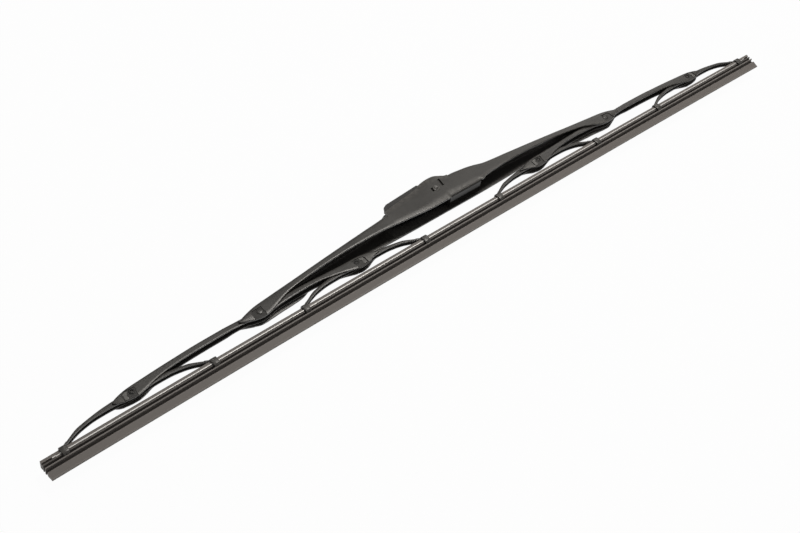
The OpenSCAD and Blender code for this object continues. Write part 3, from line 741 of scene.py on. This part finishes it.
def buildSecondary(side, name, body, node):
    spec = secondary
    top, foot = lineOver(spec["top"]), lineOver(spec["low"])
    x = stations(spec["webStart"], spec["webEnd"], spec["webStep"])
    skins = [channelSkin(x, top(x), foot(x), foot(x), secondaryHalf(x), spec["sheet"],
                         spec["bend"])]
    for low, high in ((spec["inTip"], spec["webStart"]), (spec["webEnd"], spec["outTip"])):
        x = stations(low, high, spec["tipStep"])
        skins += [hookSkin(x, top(x), foot(x), secondaryHalf(x), spec["sheet"], face,
                           spec["bend"]) for face in (1, -1)]
    joints = [(yokePivot(x0), towards, face) for x0, towards in
              ((blade["innerX"], -1), (blade["outerX"], 1)) for face in (-1, 1)]
    pockets = [pocketCutter(pivot, spec["pocket"], towards, spec["face"], spec["pocketDepth"],
                            face) for pivot, towards, face in joints]
    skins = [lessCutters(skin, pockets) for skin in skins]
    low = spec["face"] - spec["pocketDepth"] - tongue["bed"]
    high = spec["face"] - tongue["sink"]
    tongues = [plateSkin([(pivot[0] + towards * u, pivot[1] + v) for u, v in tongue["outline"]],
                         *((low, high) if face > 0 else (-high, -low)), tongue["edge"])
               for pivot, towards, face in joints]
    if side < 0:
        skins, tongues = ([mirrored(skin) for skin in group] for group in (skins, tongues))
    dress(makePiece(name, skins, blackPaint), body, node)
    piece = makePiece(name + "Tongues", tongues, linerPlastic)
    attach(piece, body)


buildSecondary(-1, "leftSecondaryLever", "left_secondary", "left_secondary_lever")
buildSecondary(1, "rightSecondaryLever", "right_secondary", "right_secondary_lever")
print("secondary levers built")

# Yokes with their claws, drawn at the foot and set on the bow
yoke = dict(
    half=1.9, tipHalf=2.1, tipAt=[40, 44.5, 47], sheet=0.8, bend=1.15, reach=46.2, step=1.0,
    cutEdge=0.12, leastFlank=0.5,
    neckHalf=2.0, neckLap=0.8, neckBeyond=0.4, neckStep=0.5, neckThick=1.5, neckThin=0.45,
    neckRound=0.4,
    clawLength=4.2, clawSheet=0.85, clawInner=3.65, clawShoulder=1.1, clawFoot=0.75,
    clawLip=1.5, clawRound=0.2, clawTaper=0.12, taperFrom=2.5, taperOver=2.0, sideKnot=-2.0,
    topKnot=1.5, bridge=0.2, jaw=3.8,
    top=[(0, 10.95), (6, 10.75), (15.5, 10.15), (20.5, 9.65), (25.5, 8.9), (30.5, 8.0),
         (35.5, 6.85), (40.5, 4.6), (45.5, 2.1), (46.5, 1.05)],
    low=[(0, 5.7), (5, 6), (9, 6.45), (14, 6.8), (20, 6.8), (26, 6.5), (33.3, 5.25),
         (38.8, 3.5), (42.9, 1.7), (45.2, 0.65), (46.5, 0.3)])


# A ring round the origin of a rectangle with rounded corners: the corner's centre plus
# r (cos a, sin a)
def roundedRing(half, otherHalf, r, steps):
    return np.array([(sx * (half - r) + r * math.cos(a), sy * (otherHalf - r) + r * math.sin(a))
                     for sx, sy, start in ((1, 1, 0), (-1, 1, 90), (-1, -1, 180), (1, -1, 270))
                     for a in arcOf(steps, start, start + 90)])


# A strap of rounded section carried round the rubber head: the path runs from the near jaw
# up the side, over a round shoulder and across the top to the far jaw
def clawSkin(centre):
    spec = yoke
    t = spec["clawSheet"]
    side, top, low = spec["clawInner"] + t / 2, spec["bridge"] + t / 2, -spec["jaw"] - t / 2
    shoulder, foot = spec["clawShoulder"], spec["clawFoot"]
    near = [(low, spec["clawInner"] - spec["clawLip"]), (low, side - foot)]
    near += [(low + foot - foot * math.cos(a), side - foot + foot * math.sin(a))
             for a in arcOf(5)[1:]]
    near += [(spec["sideKnot"], side), (top - shoulder, side)]
    near += [(top - shoulder + shoulder * math.sin(a), side - shoulder + shoulder * math.cos(a))
             for a in arcOf(7)[1:]]
    near += [(top, spec["topKnot"])]
    path = np.array(near + [(top, 0.0)] + [(y, -z) for y, z in near[::-1]])
    along = np.gradient(path, axis=0)
    along /= np.linalg.norm(along, axis=1)[:, None]
    normal = np.stack([along[:, 1], -along[:, 0]], 1)
    if normal[len(path) // 2, 0] < 0:
        normal = -normal
    ring = roundedRing(spec["clawLength"] / 2, t / 2, spec["clawRound"], 3)
    # the strap is a little shorter at its jaws
    down = np.clip((-path[:, 0] - spec["taperFrom"]) / spec["taperOver"], 0, 1)
    taper = 1 - spec["clawTaper"] * down
    grid = np.empty((len(path), len(ring), 3))
    grid[..., 0] = centre + ring[None, :, 0] * taper[:, None]
    grid[..., 1:] = path[:, None] + normal[:, None] * ring[None, :, 1:]
    return closedSkin(grid, np.full(grid.shape[:2], wearAt["inside"]))


# The neck: from u = start on the channel closes to a solid strap over the claw, a rounded
# rectangle from top to foot, half as wide as w
def neckSkin(start, sign):
    spec = yoke
    u = stations(start - spec["neckLap"], spec["reach"] + spec["neckBeyond"], spec["neckStep"])
    top, foot = lineOver(spec["top"])(u), lineOver(spec["low"])(u)
    foot = np.minimum(np.maximum(foot, top - spec["neckThick"]), top - spec["neckThin"])
    w = np.interp(u, [start - spec["neckLap"], spec["reach"]],
                  [spec["half"] - hair, spec["neckHalf"]])
    r = np.minimum(spec["neckRound"], (top - foot) / 2.2)
    ring = [((top + foot) / 2 + sy * ((top - foot) / 2 - r) + r * math.sin(a),
             sz * (w - r) + r * math.cos(a), wearAt["neck"])
            for sz, sy, first in ((1, 1, 0), (-1, 1, 90), (-1, -1, 180), (1, -1, 270))
            for a in arcOf(4, first, first + 90)]
    return sectionSkin(sign * u, ring)


def buildYoke(x0, name, body, node):
    spec = yoke
    u = stations(-spec["reach"], spec["reach"], spec["step"])
    top, foot = lineOver(spec["top"])(np.abs(u)), lineOver(spec["low"])(np.abs(u))
    half = np.interp(np.abs(u), spec["tipAt"], [spec["half"], spec["half"], spec["tipHalf"]])
    inside = top - foot > spec["bend"] + spec["leastFlank"]
    skins = [channelSkin(u[inside], top[inside], foot[inside], foot[inside], half[inside],
                         spec["sheet"], spec["bend"], edge=spec["cutEdge"])]
    for sign in (-1, 1):
        skins.append(neckSkin(np.abs(u[inside]).max(), sign))
        skins.append(clawSkin(sign * blade["clawSpan"] / 2))
    skins = [(turnedBy(points, x0), faces, wear) for points, faces, wear in skins]
    dress(makePiece(name, skins, blackPaint), body, node)


for sideName, side in sides:
    for placeName, x0 in yokePlaces:
        low = placeName.lower()
        buildYoke(side * x0, sideName + placeName + "Yoke", f"{sideName}_{low}",
                  f"{sideName}_{low}_yoke")
print("yokes built")

# Rivets and the arm pin, lathed from (radius, height, wear), where a value below 0 is painted
# shade: shank and head radii, how high a head stands, and how far from the middle its face lies
rivets = dict(yokeShank=1.1, yokeHead=1.7, yokeHeadT=0.4, yokeHalf=2.68, yokeBore=0.72,
              yokeBoreDepth=1.3, boreFloor=0.85, boreRim=0.25, lipDark=-0.5, lipFade=0.4,
              mainShank=1.25, mainHead=2.1, mainHeadT=0.6, mainHalf=3.5, mainRim=0.12,
              mainHighlight=0.1,
              pin=2.2, pinHead=2.35, pinHeadT=0.3, pinHalf=7.0, pinEdge=0.22, pinDish=0.12,
              pinDishFrom=1.2, pinDishTo=1.35)
rivetSharp = 40.0  # edges that turn by more degrees than this stay sharp


# The upper half of a profile carried on to its mirror image and revolved
def doubleLathe(upper, centre, segments=40):
    return latheSkin(upper + [(r, -z, w) for r, z, w in upper[::-1]], centre, segments)


# Hollow rivet: a bore in painted shade, a rolled lip r = bore + k - k cos a, z = h + t sin a, whose
# painted shade fades outwards, and a shank
def rolledRivet(centre):
    spec = rivets
    h, t, bore = spec["yokeHalf"], spec["yokeHeadT"], spec["yokeBore"]
    k = (spec["yokeHead"] - bore) / 2
    floor = h - spec["yokeBoreDepth"]
    upper = [(0.001, floor, -1), (bore * spec["boreFloor"], floor, -1),
             (bore, h - spec["boreRim"], -1)]
    upper += [(bore + k - k * math.cos(a), h + t * math.sin(a),
               spec["lipDark"] - spec["lipFade"] * math.cos(a)) for a in arcOf(9, 0, 180)]
    return doubleLathe(upper + [(spec["yokeShank"], h, 0)], centre)


# Domed head: r = R cos a, z = h + e + (t - e) sin a over a rim e high, lightened a little all over
# by a painted highlight
def domedRivet(centre):
    spec = rivets
    h, t, head, e = (spec["main" + part] for part in ("Half", "HeadT", "Head", "Rim"))
    wornAndHighlight = spec["mainHighlight"]
    upper = [(max(head * math.cos(a), 0.001), h + e + (t - e) * math.sin(a), wornAndHighlight)
             for a in arcOf(10, 90, 0)]
    return doubleLathe(upper + [(head, h, wornAndHighlight), (spec["mainShank"], h, 0)], centre)


# A flat head with a shallow dish in it and a bevelled rim
def armPin(centre):
    spec = rivets
    h, t, head, e, dish = (spec["pin" + part] for part in ("Half", "HeadT", "Head", "Edge", "Dish"))
    bevel = e * cutEase
    upper = [(0.001, h + t - dish, 0.4), (spec["pinDishFrom"], h + t - dish, 0.4),
             (spec["pinDishTo"], h + t, 0.6), (head - e, h + t, 0.6),
             (head - bevel, h + t - bevel, 1), (head, h + t - e, 1), (head, h, 0.5),
             (spec["pin"], h, 0)]
    return doubleLathe(upper, centre, 56)


for sideName, side in sides:
    for placeName, x0 in yokePlaces:
        piece = makePiece(f"{sideName}{placeName}Rivet", [rolledRivet(yokePivot(side * x0))],
                          rivetSteel, rivetSharp)
        dress(piece, f"{sideName}_secondary", f"{sideName}_{placeName.lower()}_rivet")
    piece = makePiece(f"{sideName}MainRivet", [domedRivet((side * blade["mainX"], mainY))],
                      blackPaint, rivetSharp)
    dress(piece, "primary", f"{sideName}_main_rivet")
dress(makePiece("armPin", [armPin((0, pinY))], blackPaint, rivetSharp), "primary", "arm_pin")
print("rivets built")

# Liners and the adapter keep their solids
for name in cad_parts:
    if name.endswith("_liner") or name == "arm_adapter":
        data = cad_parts[name].data
        data.materials.clear()
        data.materials.append(adapterPlastic if name == "arm_adapter" else linerPlastic)

# Squeegee: half of its profile as (height, half width) from the head's top down to the lip, and
# its wear and painted light as (from, to, no wider than, value), where a later line goes over an
# earlier one: a painted highlight on the rib, a worn wiping edge, painted shade in the grooves and
# painted shadow on the second plate
rubber = dict(
    halfLength=300.0, corner=0.16, step=5.0, sharp=50.0,
    half=[(0, 3.15), (-1.7, 3.15), (-1.7, 1.2), (-2.6, 1.2), (-2.6, 3.0), (-3.5, 2.95),
          (-3.7, 0.65), (-4.77, 0.65), (-4.8, 2.85), (-5.65, 2.85), (-5.75, 0.65),
          (-7.35, 0.65), (-7.4, 1.8), (-8.0, 1.65), (-11, 0.6), (-12, 0.45)],
    wear=[(-5.7, -4.7, 4, 0.7), (-13, -11.7, 4, 0.8), (-8, 1, 0.7, -0.9), (-3.7, -2.5, 4, -0.5)])
# One strip: how far out it stands, its width, its top, its thickness and its end notches
strip = dict(halfLength=294.0, out=3.5, width=2.2, top=-1.75, thick=0.78, corner=0.14,
             step=5.0, notch=(289.5, 292.0), notchDepth=0.5, sharp=40.0)
# The core inside both halves at x = 0: its reach, how far it stays inside them, and the height
# it shrinks towards in the rubber and, below the top, in a strip
core = dict(reach=4.0, shy=0.03, rubberMiddle=-6.0, stripDrop=0.44)


# Each corner of a closed outline swapped for an arc-like curve between its two sides
def roundedProfile(points, radius, most=0.42, steps=3):
    k = np.asarray(points, float)
    before, after = np.roll(k, 1, 0), np.roll(k, -1, 0)
    out = []
    for p, a, b in zip(k, before, after):
        la, lb = np.linalg.norm(a - p), np.linalg.norm(b - p)
        r = min(radius, most * la, most * lb)
        start, end = p + (a - p) / la * r, p + (b - p) / lb * r
        for t in np.linspace(0, 1, steps + 1):
            out.append((1 - t) ** 2 * start + 2 * t * (1 - t) * p + t * t * end)
    return np.array(out)


def rubberSkin(low, high):
    half = rubber["half"]
    ring = roundedProfile(half + [(y, -z) for y, z in half[::-1]], rubber["corner"])
    x = stations(low, high, rubber["step"])
    grid = np.empty((len(x), len(ring), 3))
    grid[..., 0] = x[:, None]
    grid[..., 1] = bowHeight(x)[:, None] + ring[:, 0]
    grid[..., 2] = ring[:, 1]
    y, out = ring[:, 0], np.abs(ring[:, 1])
    wear = np.zeros(len(ring))
    # painted highlight on the rib, worn wiping edge, painted shade in the grooves and painted
    # shadow on the second plate
    for start, end, widest, shade in rubber["wear"]:
        wear[(y > start) & (y < end) & (out < widest)] = shade
    return closedSkin(grid, np.broadcast_to(wear, (len(x), len(ring))))


# A strip of rounded rectangular section; near its ends the outer edge steps in at a notch
def flexorSkin(low, high, side):
    out, width, top, thick, notch, r = (strip[word] for word in (
        "out", "width", "top", "thick", "notch", "corner"))
    x = stations(low, high, strip["step"])
    for edge in (s * n for n in notch for s in (-1, 1)):
        if low < edge < high:
            x = np.append(x, [edge - hair, edge + hair])
    x = np.unique(x)
    deep = (np.abs(x) > notch[0]) & (np.abs(x) < notch[1])
    outer = np.where(deep, out - strip["notchDepth"], out)
    corners = []
    for (sy, sz), start in zip(((1, 1), (1, 0), (0, 0), (0, 1)), (0, 90, 180, 270)):
        for a in arcOf(4, start, start + 90):
            # a runs from the outer side over the top to the inner side
            y = (top - r if sy else top - thick + r) + r * math.sin(a)
            z = (outer - r if sz else out - width + r) + r * math.cos(a)
            corners.append((y + bowHeight(x), z, 0.0))
    return sectionSkin(x, corners, side)


# A slightly smaller length inside both halves where they meet at x = 0, so that nothing opens
# between them when the blade bows back: p = m + (p - m) (1 - shy / reach) about its middle m
def coreSkin(kind):
    reach = core["reach"]
    if kind == "Rubber":
        points, faces, wear = rubberSkin(-reach, reach)
        height, middleZ = core["rubberMiddle"], 0.0
    else:
        points, faces, wear = flexorSkin(-reach, reach, 1 if kind == "UpperStrip" else -1)
        height, middleZ = strip["top"] - core["stripDrop"], points[:, 2].mean()
    middle = np.array([0, bowHeight(0.0) + height, middleZ])
    away = points - middle
    return middle + away * (1 - core["shy"] / np.abs(away).max(0)), faces, wear


# The piece's transform is baked into its mesh
def claspedBlend(piece):
    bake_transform(piece)


def buildRubberAndStrips():
    clawHalf = blade["clawSpan"] / 2
    meet = (blade["innerX"] + blade["outerX"]) / 2
    for sideName, side in sides:
        for tag, low, high, claw in (("Outer", meet, None, blade["outerX"] - clawHalf),
                                     ("Inner", 0.0, meet, blade["innerX"] + clawHalf)):
            for kind, spec in (("Rubber", rubber), ("UpperStrip", strip), ("LowerStrip", strip)):
                a, b = low, (spec["halfLength"] if high is None else high)
                a, b = (a, b) if side > 0 else (-b, -a)
                if kind == "Rubber":
                    skins, material = [rubberSkin(a, b)], wiperRubber
                    node, slot = "rubber_squeegee", "squeegee_rubber"
                else:
                    up = kind == "UpperStrip"
                    skins, material = [flexorSkin(a, b, 1 if up else -1)], brightStrip
                    node, slot = ("upper_flexor" if up else "lower_flexor"), "strip_steel"
                if side < 0 and tag == "Inner":
                    skins.append(coreSkin(kind))
                piece = makePiece(f"{sideName}{tag}{kind}", skins, material, spec["sharp"])
                claspedBlend(piece)
                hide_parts(node)


buildRubberAndStrips()
print("squeegee and strips built")
